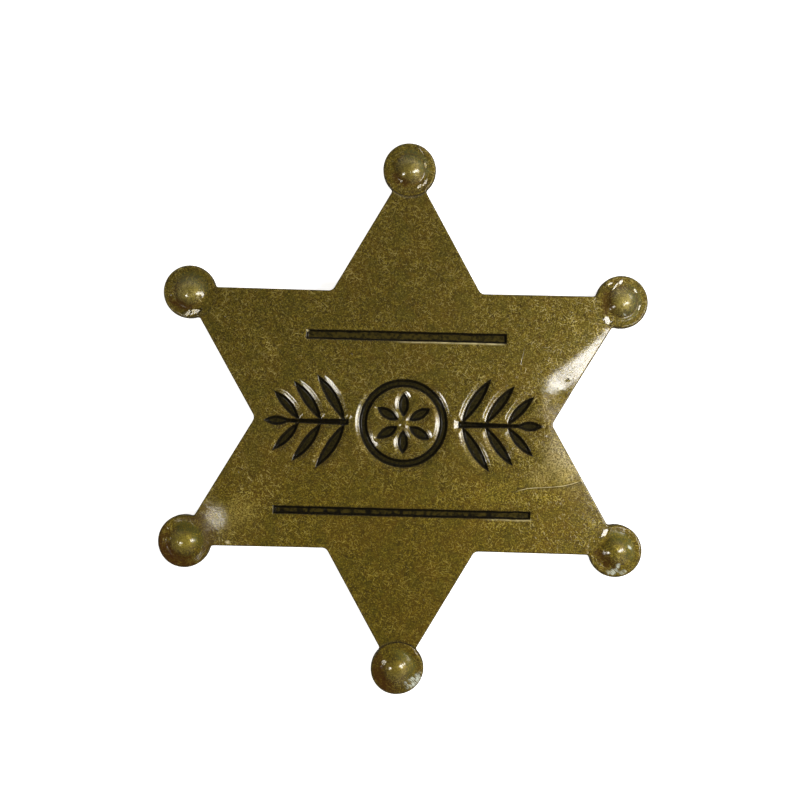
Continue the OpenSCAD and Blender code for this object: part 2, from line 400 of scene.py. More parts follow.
def struck_height(u, v):
    """Height of the face above the crown, without the flat spots on the discs."""
    k, r = nearest_tip(u, v)
    s_o, s_r = sd_ornament(u, v), sd_rules(u, v)
    # the shoulders die out at the leaves' tips
    tip_fade = np.exp(-(leaf_tip(u, v) / 0.7) ** 2)
    w = orn_profile(s_o) - 0.8 * tip_fade * orn_profile(np.maximum(s_o, 0.06)) + rule_profile(s_r)
    # the sheet isn't quite true
    wave = 0.016 * noise_a(u / 7.5 + 3, v / 7.5) + 0.006 * noise_b(u / 3.1, v / 3.1 + 9) + 0.0016 * noise_c(u / 1.1, v / 1.1)
    crease = np.array(CREASE)[k]
    inner = crease * neck_creased(r) + (1 - crease) * NECK[k] * neck_plain(r)
    rim = tip_profile(r, k)
    # which side of the disc: towards the badge's middle it meets its point
    ct, st = np.cos(np.array(TIP_ANGLES))[k], np.sin(np.array(TIP_ANGLES))[k]
    ax = -((u - TIP_CENTRES[k, 0]) * ct + (v - TIP_CENTRES[k, 1]) * st) / np.maximum(r, 1e-9)
    to_middle = smooth(0.40, 0.68, ax)
    disc = np.where(r < 2.56, rim, rim * (1 - to_middle) + inner * to_middle)
    lean = DOME_LEAN[k]
    settle = 1 - np.where(SHORT_LEAN[k], smooth(-0.3, 0.3, ax) * smooth(1.15, 2.15, r), smooth(-0.1, 0.75, ax) * smooth(1.6, 3.74, r))
    lean = -(lean[..., 0] * (u - TIP_CENTRES[k, 0]) + lean[..., 1] * (v - TIP_CENTRES[k, 1])) * settle * (r < 3.74)
    w = np.where(r < 3.74, disc, w) + lean + wave * np.clip((r - 1.6) / 1.6, 0, 1) + bend_height(u, v) + bulge_height(u, v)
    for line, half, depth, lip in SCRATCHES:
        d, t = along_scratch(u, v, line)
        fade = np.sqrt(np.clip(4 * t * (1 - t), 0, 1)) * (0.75 + 0.25 * noise_d(u * 2.1, v * 2.1))
        w = w - fade * depth * np.clip(1 - d / (0.62 * half), 0, 1) + fade * lip * np.clip(1 - np.abs(d - half) / (0.45 * half), 0, 1)
    for px, py, rad, depth in PITS:
        d = np.hypot(u - px, v - py)
        w = w - depth * (1 - smooth(0.25 * rad, rad, d)) + 0.25 * depth * np.clip(1 - np.abs(d - 1.25 * rad) / (0.35 * rad), 0, 1)
    return w


FACET_AT = [float(struck_height(np.array([f[0]]), np.array([f[1]]))[0]) for f in FACETS]


def facet_part(u, v, facet):
    """How much of a flat spot is at each place."""
    cx, cy, a, b, turn = facet[:5]
    x, y = turned(u, v, cx, cy, turn)
    rad = np.hypot(x / a, y / b) + 0.22 * noise_d(u * 3.1 + 9, v * 3.1)
    return 1 - smooth(0.75, 1.25, rad)


def front_height(u, v):
    """Height of the face above the crown, without the rounding of its outer edge."""
    w = struck_height(u, v)
    for facet, at in zip(FACETS, FACET_AT):
        m = facet_part(u, v, facet)
        cx, cy, hx, hy = facet[0], facet[1], facet[5], facet[6]
        flat = at + (cx / R_TOP - hx) * (u - cx) + (cy / R_TOP - hy) * (v - cy)
        w = w * (1 - m) + flat * m
    return w


def back_height(u, v):
    k, r = nearest_tip(u, v)
    base = -(BACK_PLATE + (BACK_DISC - BACK_PLATE) * (1 - smooth(3.0, 3.9, r)))
    wave = 0.010 * noise_b(u / 6.0 + 31, v / 6.0) + 0.004 * noise_a(u / 2.3, v / 2.3 + 17)
    return np.where(r < 1.80, hollow_profile(np.minimum(r, 1.80)), base + np.clip(wave, 0, 1) * smooth(1.8, 2.6, r)) + bend_height(u, v)


def on_crown(u, v, w):
    """The point at height w over place (u, v) of the crowned face."""
    m = np.sqrt(1 - (u * u + v * v) / R_TOP**2)
    k = R_TOP + w
    return np.stack([k * u / R_TOP, k * v / R_TOP, CROWN_Z + k * m], -1)


def crown_normal(u, v):
    m = np.sqrt(1 - (u * u + v * v) / R_TOP**2)
    return np.stack([u / R_TOP, v / R_TOP, m], -1)


def unit(a):
    return a / np.maximum(np.linalg.norm(a, axis=-1, keepdims=True), 1e-12)


def surface_normal(height, u, v, e=0.004):
    """The true normal of a height over the crown, pointing out of the face."""
    du = on_crown(u + e, v, height(u + e, v)) - on_crown(u - e, v, height(u - e, v))
    dv = on_crown(u, v + e, height(u, v + e)) - on_crown(u, v - e, height(u, v - e))
    return unit(np.cross(du, dv))


# -------------------------------------------------------------- the outline


def one_point(shift):
    """From one inner corner, round one disc, to just before the next corner."""
    notch = NOTCH_R * np.array([math.cos(math.radians(-30)), math.sin(math.radians(-30))])
    along = notch / NOTCH_R
    edge = np.array([POINT_R, 0.0]) - notch
    length = np.linalg.norm(edge)
    d = edge / length
    n = np.array([d[1], -d[0]])
    h = math.acos(float(d @ along))
    cn = notch + along * NOTCH_FILLET / math.sin(h)
    a0 = math.radians(150)
    rows = []
    for t in np.linspace(a0 + (math.pi / 2 - h), a0 - (math.pi / 2 - h), 9):
        c = np.array([math.cos(t), math.sin(t)])
        rows.append((cn + NOTCH_FILLET * c, -c, 0.0))
    disc = np.array([TIP_R + shift, 0.0])
    e = notch + NECK_FILLET * n - disc
    b = float(d @ e)
    t_neck = -b - math.sqrt(b * b - (float(e @ e) - (DISC_R + NECK_FILLET) ** 2))
    start = NOTCH_FILLET / math.tan(h)
    count = int(math.ceil((t_neck - start) / 0.45))
    low = []
    for t in np.linspace(start, t_neck, count + 1)[1:]:
        low.append((notch + d * t, n, 0.0))
    cf = notch + d * t_neck + NECK_FILLET * n
    t1 = math.atan2(-n[1], -n[0])
    t2 = math.atan2(*(disc - cf)[::-1])
    for i, t in enumerate(np.linspace(t1, t2, 7)[1:]):
        c = np.array([math.cos(t), math.sin(t)])
        low.append((cf + NECK_FILLET * c, -c, (i + 1) / 6))
    p0 = math.atan2(*(cf - disc)[::-1])
    count = int(math.ceil(2 * abs(p0) * DISC_R / 0.2 / 2)) * 2
    arc = []
    for p in np.linspace(p0, -p0, count + 1)[1:-1]:
        c = np.array([math.cos(p), math.sin(p)])
        arc.append((disc + DISC_R * c, c, 1.0))
    flip = np.array([1.0, -1.0])
    high = [(p * flip, m * flip, g) for p, m, g in reversed(low)]
    return rows + low + arc + high


def outline():
    """Points round the star, the way out at each, and how far each is part of a disc, anticlockwise."""
    pts, out, grow = [], [], []
    for a, shift, aside in zip(TIP_ANGLES, TIP_SHIFT, TIP_ASIDE):
        rot = np.array([[math.cos(a), -math.sin(a)], [math.sin(a), math.cos(a)]])
        for p, m, g in one_point(shift):
            pts.append(rot @ (p + np.array([0.0, aside * g])))
            out.append(rot @ m)
            grow.append(g)
    return np.array(pts), np.array(out), np.array(grow)


# ----------------------------------------------------------- level curves

CELLS = {1: [(3, 0)], 2: [(0, 1)], 3: [(3, 1)], 4: [(1, 2)], 5: [(3, 0), (1, 2)], 6: [(0, 2)], 7: [(3, 2)],
         8: [(2, 3)], 9: [(2, 0)], 10: [(0, 1), (2, 3)], 11: [(2, 1)], 12: [(1, 3)], 13: [(1, 0)], 14: [(0, 3)]}


def level_curves(field, xs, ys, level):
    """Closed curves along which a sampled field has the level."""
    g = field - level
    g = np.where(np.abs(g) < 1e-9, 1e-9, g)
    up = g > 0
    ny, nx = up.shape
    code = up[:-1, :-1] * 1 + up[:-1, 1:] * 2 + up[1:, 1:] * 4 + up[1:, :-1] * 8
    links = {}
    for j, i in zip(*np.nonzero((code > 0) & (code < 15))):
        ids = ((j * nx + i) * 2, (j * nx + i + 1) * 2 + 1, ((j + 1) * nx + i) * 2, (j * nx + i) * 2 + 1)
        for a, b in CELLS[int(code[j, i])]:
            links.setdefault(ids[a], []).append(ids[b])
            links.setdefault(ids[b], []).append(ids[a])

    def place(key):
        j, i = divmod(key // 2, nx)
        if key % 2 == 0:
            t = g[j, i] / (g[j, i] - g[j, i + 1])
            return (xs[i] + t * (xs[i + 1] - xs[i]), ys[j])
        t = g[j, i] / (g[j, i] - g[j + 1, i])
        return (xs[i], ys[j] + t * (ys[j + 1] - ys[j]))

    curves, seen = [], set()
    for start in sorted(links):
        if start in seen:
            continue
        loop, key = [start], links[start][0]
        seen.add(start)
        while key not in seen:
            seen.add(key)
            loop.append(key)
            nxt = [q for q in links[key] if q not in seen]
            if not nxt:
                break
            key = nxt[0]
        if len(loop) > 6:
            curves.append(np.array([place(q) for q in loop]))
    return curves


def thin(line, tol):
    """Keeps the points of an open line that it needs to stay within tol."""
    keep = np.zeros(len(line), bool)
    keep[0] = keep[-1] = True
    todo = [(0, len(line) - 1)]
    while todo:
        a, b = todo.pop()
        if b - a < 2:
            continue
        p, q = line[a], line[b]
        d = q - p
        ln = math.hypot(*d)
        mid = line[a + 1 : b] - p
        dist = np.abs(mid[:, 0] * d[1] - mid[:, 1] * d[0]) / ln if ln > 1e-9 else np.hypot(mid[:, 0], mid[:, 1])
        i = int(np.argmax(dist))
        if dist[i] > tol:
            keep[a + 1 + i] = True
            todo += [(a, a + 1 + i), (a + 1 + i, b)]
    return line[keep]


def spaced(line, longest, closed):
    """Adds points so that no step is longer than longest."""
    pts = np.vstack([line, line[:1]]) if closed else line
    out = []
    for p, q in zip(pts[:-1], pts[1:]):
        n = max(1, int(math.ceil(math.hypot(*(q - p)) / longest)))
        out += [p + (q - p) * i / n for i in range(n)]
    if not closed:
        out.append(pts[-1])
    return np.array(out)


def tidy_loop(loop, tol, longest):
    far = int(np.argmax(np.hypot(*(loop - loop[0]).T)))
    a, b = thin(loop[: far + 1], tol), thin(np.vstack([loop[far:], loop[:1]]), tol)
    return spaced(np.vstack([a[:-1], b[:-1]]), longest, True)


# --------------------------------------------------------------- meshing


class Plan:
    """Points and lines in the flat domain that a triangulation must keep."""

    def __init__(self):
        self.points, self.edges = [], []

    def loop(self, pts, closed=True):
        first = len(self.points)
        self.points += [tuple(p) for p in pts]
        n = len(pts)
        self.edges += [(first + i, first + (i + 1) % n) for i in range(n if closed else n - 1)]
        return list(range(first, first + n))

    def dots(self, pts):
        self.points += [tuple(p) for p in pts]

    def build(self, border):
        """Triangles inside the border, and where each given point went."""
        out = geometry.delaunay_2d_cdt([Vector(p) for p in self.points], self.edges, [], 1, 1e-6, True)
        pts = np.array([tuple(p) for p in out[0]])
        tris = np.array([tuple(f) for f in out[2]], int)
        where = {}
        for new, olds in enumerate(out[3]):
            for old in olds:
                where[old] = new
        a, b, c = pts[tris[:, 0]], pts[tris[:, 1]], pts[tris[:, 2]]
        area = (b[:, 0] - a[:, 0]) * (c[:, 1] - a[:, 1]) - (b[:, 1] - a[:, 1]) * (c[:, 0] - a[:, 0])
        mid = (a + b + c) / 3
        keep = (np.abs(area) > 1e-12) & inside(mid[:, 0], mid[:, 1], border)
        tris, area = tris[keep], area[keep]
        tris[area < 0] = tris[area < 0][:, ::-1]
        return pts, tris, where


def circle(cx, cy, r, n, phase=0.0):
    t = np.arange(n) * 2 * math.pi / n + phase
    return np.stack([cx + r * np.cos(t), cy + r * np.sin(t)], -1)


def to_outline(u, v, pts):
    """Distance to the outline's nearest point or side."""
    a, b = pts, np.roll(pts, -1, axis=0)
    d = b - a
    ln2 = (d * d).sum(1)
    best = np.full(len(u), 1e9)
    for i in range(0, len(u), 2000):
        x, y = u[i : i + 2000, None], v[i : i + 2000, None]
        t = np.clip(((x - a[:, 0]) * d[:, 0] + (y - a[:, 1]) * d[:, 1]) / ln2, 0, 1)
        best[i : i + 2000] = np.hypot(x - a[:, 0] - t * d[:, 0], y - a[:, 1] - t * d[:, 1]).min(1)
    return best


def hex_grid(step, reach=36.0):
    rows = []
    for j, y in enumerate(np.arange(-reach, reach, step * math.sqrt(3) / 2)):
        x = np.arange(-reach, reach, step) + (step / 2 if j % 2 else 0)
        rows.append(np.stack([x, np.full(len(x), y)], -1))
    return np.vstack(rows)


def star_mesh():
    edge_pts, edge_out, disc_part = outline()
    n = len(edge_pts)
    radius = EDGE_PLATE + (EDGE_DISC - EDGE_PLATE) * disc_part
    thick = BACK_PLATE + (BACK_DISC - BACK_PLATE) * disc_part

    # ---- front, inside its rounded edge
    plan = Plan()
    border = edge_pts - edge_out * radius[:, None]
    ring = plan.loop(border)
    step = 0.05
    for field, box, levels in (
        (sd_ornament, (-18.9, 18.9, -7.4, 6.8), (-0.36, -0.29, -0.23, -0.18, -0.13, -0.08, -0.03, 0.02, 0.07, 0.13, 0.20, 0.28, 0.36, 0.45, 0.56, 0.69, 0.85)),
        (sd_rules, (-13.6, 13.9, 9.3, 12.2), (-0.38, -0.29, -0.22, -0.17, -0.12, -0.07, -0.02, 0.03, 0.09, 0.18, 0.31, 0.49)),
        (sd_rules, (-17.3, 17.6, -13.0, -10.3), (-0.33, -0.27, -0.21, -0.16, -0.11, -0.06, -0.02, 0.03, 0.09, 0.18, 0.31, 0.49)),
    ):
        xs, ys = np.arange(box[0], box[1], step), np.arange(box[2], box[3], step)
        f = field(*np.meshgrid(xs, ys))
        for level in levels:
            for loop in level_curves(f, xs, ys, level):
                plan.loop(tidy_loop(loop, 0.005, 0.30))
    tip_rings = [(0.25, 10), (0.5, 16), (0.75, 24), (1.0, 32), (1.2, 40), (1.38, 48), (1.52, 56), (1.63, 64),
                 (1.71, 72), (1.78, 72), (1.84, 72), (1.90, 72), (1.96, 72), (2.02, 72), (2.09, 72), (2.17, 72),
                 (2.25, 72), (2.32, 72), (2.39, 72), (2.44, 72), (2.50, 72), (2.58, 72), (2.72, 72), (2.90, 64)]
    for cx, cy in TIP_CENTRES:
        plan.dots([(cx, cy)])
        for r, m in tip_rings:
            plan.loop(circle(cx, cy, r, m, r * 1.7))
    for k, (cx, cy) in enumerate(TIP_CENTRES):
        for r in (3.06, 3.18, 3.28, 3.35, 3.40, 3.44, 3.48, 3.54, 3.64, 3.76):
            t = np.linspace(-1.2, 1.2, 45) + TIP_ANGLES[k] + math.pi
            arc = np.stack([cx + r * np.cos(t), cy + r * np.sin(t)], -1)
            clear = to_outline(arc[:, 0], arc[:, 1], edge_pts)
            arc = arc[clear > 0.30]
            if len(arc) > 2:
                plan.loop(arc, closed=False)
    for facet in FACETS:
        cx, cy, a, b, turn = facet[:5]
        fine = hex_grid(0.085 if b > 0.13 else 0.06, 2.0)
        c, n_ = math.cos(math.radians(turn)), math.sin(math.radians(turn))
        x, y = fine.T
        fine = fine[np.hypot(x / (a + 0.15), y / (b + 0.15)) < 1.2]
        fine = np.stack([cx + fine[:, 0] * c - fine[:, 1] * n_, cy + fine[:, 0] * n_ + fine[:, 1] * c], -1)
        ok = inside(fine[:, 0], fine[:, 1], edge_pts) & (to_outline(fine[:, 0], fine[:, 1], edge_pts) > 0.38)
        plan.dots(fine[ok])
    for line, half, _, _ in SCRATCHES:
        pts = spaced(np.array(line), 0.3, False)
        d = np.gradient(pts, axis=0)
        d = unit(d)
        side = np.stack([-d[:, 1], d[:, 0]], -1)
        for off in (-1.45, -1.0, -0.6, 0.0, 0.6, 1.0, 1.45):
            plan.loop(pts + side * off * half, closed=False)
    for px, py, rad, _ in PITS:
        plan.dots([(px, py)])
        for q, m in ((0.3, 6), (0.65, 8), (1.0, 10), (1.25, 12), (1.6, 12)):
            plan.loop(circle(px, py, q * rad, m, q))
    grid = hex_grid(0.42)
    grid = grid[inside(grid[:, 0], grid[:, 1], edge_pts)]
    gu, gv = grid.T
    _, gr = nearest_tip(gu, gv)
    ok = (to_outline(gu, gv, edge_pts) > 0.42) & (sd_ornament(gu, gv) > 0.98) & (sd_rules(gu, gv) > 0.62) & (gr > 3.9)
    for line, half, _, _ in SCRATCHES:
        ok &= along_scratch(gu, gv, line)[0] > half * 1.45 + 0.1
    for px, py, rad, _ in PITS:
        ok &= np.hypot(gu - px, gv - py) > rad * 1.6 + 0.08
    for facet in FACETS:
        x, y = turned(gu, gv, *facet[:2], facet[4])
        ok &= np.hypot(x / (facet[2] + 0.3), y / (facet[3] + 0.3)) > 1.2
    plan.dots(grid[ok])
    front, front_tris, at = plan.build(border)
    front_ring = [at[i] for i in ring]
    fu, fv = front.T

    # ---- back
    plan = Plan()
    border = edge_pts - edge_out * EDGE_BACK
    ring = plan.loop(border)
    for cx, cy in TIP_CENTRES:
        plan.dots([(cx, cy)])
        for r, m in ((0.4, 12), (0.8, 20), (1.1, 28), (1.3, 32), (1.42, 36), (1.5, 36), (1.57, 36), (1.64, 36), (1.72, 36), (1.8, 36), (2.1, 32), (2.6, 32)):
            plan.loop(circle(cx, cy, r, m, r))
    grid = hex_grid(0.95)
    grid = grid[inside(grid[:, 0], grid[:, 1], edge_pts)]
    _, gr = nearest_tip(*grid.T)
    plan.dots(grid[(to_outline(grid[:, 0], grid[:, 1], edge_pts) > 0.5) & (gr > 2.9)])
    back, back_tris, at = plan.build(border)
    back_ring = [at[i] for i in ring]
    bu, bv = back.T

    # ---- put together: front, rings round the edge, back
    co = [on_crown(fu, fv, front_height(fu, fv))]
    nor = [surface_normal(front_height, fu, fv)]
    flat = [front]
    kind = [np.zeros(len(front))]
    eu, ev = edge_pts.T
    out3 = np.stack([edge_out[:, 0], edge_out[:, 1], np.zeros(n)], -1)
    up3 = crown_normal(eu, ev)
    out3 = unit(out3 - up3 * (out3 * up3).sum(1, keepdims=True))
    rows = [front_ring]
    total = len(front)

    def add_ring(dist, w, normal, side):
        nonlocal total
        p = edge_pts - edge_out * dist[:, None]
        co.append(on_crown(p[:, 0], p[:, 1], w))
        nor.append(normal)
        flat.append(p)
        kind.append(np.full(n, side))
        rows.append(list(range(total, total + n)))
        total += n

    for deg in (80, 68, 55, 41, 27, 13, 0):
        f = math.radians(deg)
        side = 0.5 + 0.4 * (90 - deg) / 90
        dist = radius * (1 - math.cos(f))
        p = edge_pts - edge_out * dist[:, None]
        top = surface_normal(front_height, p[:, 0], p[:, 1])
        w = front_height(p[:, 0], p[:, 1]) - radius * (1 - math.sin(f))
        add_ring(dist, w, unit(top * math.sin(f) + out3 * math.cos(f)), side)
    zero = np.zeros(n)
    rim_w = front_height(eu, ev) - radius
    drop = bend_height(eu, ev)
    low_w = -thick + EDGE_BACK + drop
    for t in (0.33, 0.67, 1.0):
        add_ring(zero, rim_w * (1 - t) + low_w * t, out3, 1.0)
    for deg in (30, 60):
        f = math.radians(deg)
        add_ring(np.full(n, EDGE_BACK * (1 - math.cos(f))), -thick + drop + EDGE_BACK * (1 - math.sin(f)), unit(out3 * math.cos(f) - up3 * math.sin(f)), 1.5)
    back_first = total
    co.append(on_crown(bu, bv, back_height(bu, bv)))
    nor.append(-surface_normal(back_height, bu, bv))
    flat.append(back)
    kind.append(np.full(len(back), 2.0))
    rows.append([back_first + i for i in back_ring])
    co, nor, flat, kind = np.vstack(co), np.vstack(nor), np.vstack(flat), np.concatenate(kind)
    # where the discs rest, they have worn flat
    co[:, 2] = np.maximum(co[:, 2], 0.0)

    faces = [tuple(t) for t in front_tris]
    for a, b in zip(rows[:-1], rows[1:]):
        faces += [(a[i], b[i], b[(i + 1) % n], a[(i + 1) % n]) for i in range(n)]
    faces += [tuple(int(back_first + i) for i in t[::-1]) for t in back_tris]
    return co, nor, flat, kind, faces


def add_values(mesh, name, values):
    a = mesh.attributes.new(name, "FLOAT", "POINT")
    a.data.foreach_set("value", np.asarray(values, np.float32))


def mesh_object(name, co, faces, normals=None):
    mesh = bpy.data.meshes.new(name)
    mesh.from_pydata((co * 0.001).tolist(), [], faces)
    mesh.update()
    mesh.polygons.foreach_set("use_smooth", np.ones(len(mesh.polygons), bool))
    if normals is not None:
        mesh.normals_split_custom_set_from_vertices(normals.tolist())
    ob = bpy.data.objects.new(name, mesh)
    bpy.context.scene.collection.objects.link(ob)
    return ob


co, nor, flat, kind, faces = star_mesh()
star = mesh_object("badge_star", co, faces, nor)
u, v = flat.T
s_o, s_r = sd_ornament(u, v), sd_rules(u, v)
tip_k, tip_r = nearest_tip(u, v)
face = (kind < 0.95).astype(float)
# black left on the walls of the pressed work, and the grey-green floor between them
rule_edge = np.where(v > 0, 0.22, 0.265 - 0.07 * smooth(10, 15, u)) + 0.055 * noise_d(u * 2.3, v * 1.1 + 4) + 0.03 * noise_c(u * 5.1, v)
wall = np.maximum(
    (1 - smooth(-0.02, 0.06, s_o)) * smooth(-0.40, -0.24, s_o),
    (1 - smooth(-0.03, 0.04, s_r)) * smooth(-0.10, 0.02, s_r + rule_edge))
add_values(star.data, "wall", wall * face)
floor_part = np.maximum(1 - smooth(-0.30, -0.12, s_o), 1 - smooth(-0.26, -0.10, s_r))
add_values(star.data, "floor", floor_part * face)
rule_part = 1 - smooth(-0.2, 0.4, s_r)
add_values(star.data, "rule", rule_part * face)
# a dark band just outside the edges of the pressed work and the rules
edge_band = np.maximum(smooth(0.0, 0.05, s_o) * (1 - smooth(0.05, 0.22, s_o)), smooth(-0.02, 0.03, s_r) * (1 - smooth(0.03, 0.16, s_r)))
add_values(star.data, "edge_band", edge_band * face)
# brown round each dome's foot: tarnish, and painted shade that lies mostly on the lower left
az = np.arctan2(v - TIP_CENTRES[tip_k, 1], u - TIP_CENTRES[tip_k, 0])
# the way it lies, how wide, from where to where, and how much, for each disc
DIRT_AND_SHADE = np.array([(228, 62, 0.9, 1.5, 1.9, 2.7, 0.80), (246, 66, 1.3, 1.9, 2.3, 3.0, 0.95), (232, 102, 1.4, 2.0, 3.0, 3.9, 1.0),
                 (208, 82, 1.3, 2.0, 2.8, 3.6, 1.0), (222, 66, 0.8, 1.4, 2.0, 2.9, 0.85), (186, 66, 1.1, 1.7, 2.2, 3.0, 0.75)])[tip_k]
off = np.degrees(np.abs((az - np.radians(DIRT_AND_SHADE[:, 0]) + math.pi) % (2 * math.pi) - math.pi))
wobble = 0.28 * noise_d(u * 1.9 + 2, v * 1.9 + 6)
side = 1 - smooth(0.35, 1.0, off / DIRT_AND_SHADE[:, 1] + wobble)
spread = smooth(0, 1, (tip_r + wobble - DIRT_AND_SHADE[:, 2]) / (DIRT_AND_SHADE[:, 3] - DIRT_AND_SHADE[:, 2])) * (1 - smooth(0, 1, (tip_r + wobble - DIRT_AND_SHADE[:, 4]) / (DIRT_AND_SHADE[:, 5] - DIRT_AND_SHADE[:, 4])))
foot = (0.55 - 0.5 * SOFT[tip_k]) * smooth(1.68, 1.88, tip_r) * (1 - smooth(1.98, 2.15, tip_r))
flat_part = np.max([facet_part(u, v, f) for f in FACETS], axis=0)
towards = -(np.cos(az) * np.cos(np.array(TIP_ANGLES))[tip_k] + np.sin(az) * np.sin(np.array(TIP_ANGLES))[tip_k])
joint = 0.42 * (tip_k == 2) * smooth(0.35, 0.7, towards + wobble) * smooth(2.3, 2.8, tip_r) * (1 - smooth(3.8, 4.5, tip_r + wobble))
valley = np.maximum(np.maximum(foot, joint), side * spread * DIRT_AND_SHADE[:, 6]) * (1 - flat_part)
add_values(star.data, "valley", np.clip(valley, 0, 1) * face)
# painted light: the tops of the domes are painted lighter, and the sides turned away from the brown are greyer and
# greener
lit_dome_top = np.array([0.55, 0.85, 0.85, 0.55, 0.40, 0.95])[tip_k] * (1 - smooth(0.5, 1.75, tip_r + 0.5 * wobble))
add_values(star.data, "lit_dome_top", lit_dome_top * face)
green = smooth(0.05, 0.65, -np.cos(az - np.radians(DIRT_AND_SHADE[:, 0]))) * smooth(1.05, 1.5, tip_r) * (1 - smooth(2.2, 2.8, tip_r)) * (1 - flat_part)
add_values(star.data, "green", green * face * np.array([1.0, 0.75, 0.95, 0.9, 1.0, 0.9])[tip_k])
# the cut edge: painted dark as shade, and its coat dulled
add_values(star.data, "turned", smooth(0.50, 0.56, kind))
add_values(star.data, "rim", smooth(0.56, 0.80, kind) * (1 - 0.5 * smooth(1.2, 2.0, kind)))
crease = np.array(CREASE)[tip_k] * smooth(3.27, 3.35, tip_r) * (1 - smooth(3.41, 3.50, tip_r)) * smooth(0.6, 0.75, towards)
add_values(star.data, "crease", crease * face)
mark = np.zeros(len(u))
for line, half, depth, _ in SCRATCHES[1:]:
    d, t = along_scratch(u, v, line)
    mark = np.maximum(mark, (1 - smooth(0.4 * half, 1.1 * half, d)) * min(1.0, depth / 0.03))
# the longest scratch is bright, with a painted shadow line above its start and below its end
d, t = along_scratch(u, v, SCRATCHES[0][0])
bright = (1 - smooth(0.01, 0.065, d)) * smooth(0.02, 0.2, t) * np.clip(0.86 + 0.75 * noise_d(u * 1.6, v * 0.4 + 3), 0.2, 1)
# painted highlights: the rules' lower edges are painted bright towards the right, and a few specks are painted as
# glints: place, half length, half width, turn
below = smooth(0.0, 0.05, s_r) * (1 - smooth(0.12, 0.22, s_r))
upper_line = smooth(-2.2, 1.5, u) * (1 - smooth(12.2, 12.8, u)) * (v < UPPER_RULE[1] - 0.55) * (v > 9)
lower_line = 0.55 * smooth(9.5, 12.5, u) * (v < LOWER_RULE[1] - 0.4)
bright = np.maximum(bright, below * np.maximum(upper_line, lower_line) * (0.75 + 0.3 * noise_c(u * 1.7, v)))
for px, py, a, b, turn in ((-23.30, -15.60, 0.26, 0.08, 85), (-21.95, -16.05, 0.12, 0.10, 0), (-22.80, -13.55, 0.20, 0.08, -45), (-21.65, -12.90, 0.12, 0.09, 0),
                           (-12.45, 11.20, 0.13, 0.11, 0), (-24.55, -11.05, 0.22, 0.06, 40)):
    x, y = turned(u, v, px, py, turn)
    bright = np.maximum(bright, 1 - smooth(0.5, 1.3, np.hypot(x / a, y / b)))
# painted shadow lines beside the longest scratch
d, t = along_scratch(u, v, [(x, y + 0.13) for x, y in SCRATCHES[0][0][:3]])
mark = np.maximum(mark, (1 - smooth(0.03, 0.10, d)) * 0.9)
d, t = along_scratch(u, v, [(x, y - 0.13) for x, y in SCRATCHES[0][0][3:]])
mark = np.maximum(mark, (1 - smooth(0.03, 0.10, d)) * (0.45 + 0.35 * smooth(0.3, 0.8, t)))
add_values(star.data, "bright", bright * face)
# painted glare, a pale sparkle where the lamps' reflections fall, and rubbed lacquer: place, half length, half width,
# turn
glare_and_wear = np.zeros(len(u))
for px, py, a, b, turn in ((-23.7, -13.0, 1.7, 1.2, 35), (20.6, -3.2, 3.0, 1.3, -60), (24.6, -12.4, 1.2, 0.9, -60), (12.0, -13.0, 2.0, 0.35, 0),
                           (18.4, -9.2, 2.2, 0.8, 0), (21.5, 12.4, 2.5, 0.8, -70), (-17.5, 9.5, 3.0, 0.7, -55)):
    x, y = turned(u, v, px, py, turn)
    glare_and_wear = np.maximum(glare_and_wear, 1 - smooth(0.3, 1.3, np.hypot(x / a, y / b) + 0.3 * noise_d(u * 1.3 + 3, v * 1.3)))
# painted glare along the bend, painted light growing towards the right, and a little more to the left and the top
glare_and_wear = np.maximum(glare_and_wear, (1 - smooth(0.6, 3.2, along_scratch(u, v, BEND[:12])[0])) * 0.45)
glare_and_wear = np.maximum(glare_and_wear, 0.27 * smooth(-4, 22, u))
glare_and_wear = np.maximum(glare_and_wear, 0.16 * np.maximum(smooth(2, -14, u), smooth(14, 24, v)))
x, y = turned(u, v, 12.0, -8.6, 4)
glare_and_wear = np.maximum(glare_and_wear, 0.7 * (1 - smooth(0.2, 1.4, np.hypot(x / 4.8, y / 1.7) + 0.25 * noise_d(u * 0.9 + 2, v * 0.9))))
# painted glow where the lamps' glare spreads, near the bend at the right and on the lower left arm
painted_glow = np.zeros(len(u))
for px, py, a, b, turn, much in ((20.4, -5.7, 3.0, 2.1, -60, 0.72), (17.6, -6.9, 1.8, 1.4, 0, 0.35), (-20.9, -12.3, 2.8, 2.1, 30, 0.34)):
    x, y = turned(u, v, px, py, turn)
    painted_glow = np.maximum(painted_glow, much * (1 - smooth(0.15, 1.5, np.hypot(x / a, y / b) + 0.22 * noise_d(u * 0.9 + 2, v * 0.9))))
add_values(star.data, "painted_glow", painted_glow * face)
# painted glow on the lower left arm
x, y = turned(u, v, -20.0, -10.8, 30)
glare_and_wear = np.maximum(glare_and_wear, 0.42 * (1 - smooth(0.3, 1.3, np.hypot(x / 4.6, y / 2.8) + 0.2 * noise_d(u * 1.3, v * 1.3 + 8))))
add_values(star.data, "glare_and_wear", glare_and_wear * face)
# the lower half has a warmer tone
add_values(star.data, "warm", smooth(-3, -10, v) * face)
# places where the lacquer is grainy, so that light breaks up in it
x, y = turned(u, v, -23.25, -12.45, 58)
grainy = 1 - smooth(0.15, 1.5, np.hypot(x / 2.1, y / 1.5) + 0.2 * noise_d(u * 1.7 + 5, v * 1.7))
grainy = np.maximum(grainy, 0.42 * (1 - smooth(0.4, 2.2, along_scratch(u, v, BEND[3:15])[0])))
add_values(star.data, "grainy", grainy * face)
for px, py, rad, depth in PITS:
    mark = np.maximum(mark, (1 - smooth(0.5 * rad, 1.1 * rad, np.hypot(u - px, v - py))) * min(1.0, depth / 0.05))
add_values(star.data, "mark", mark * face)
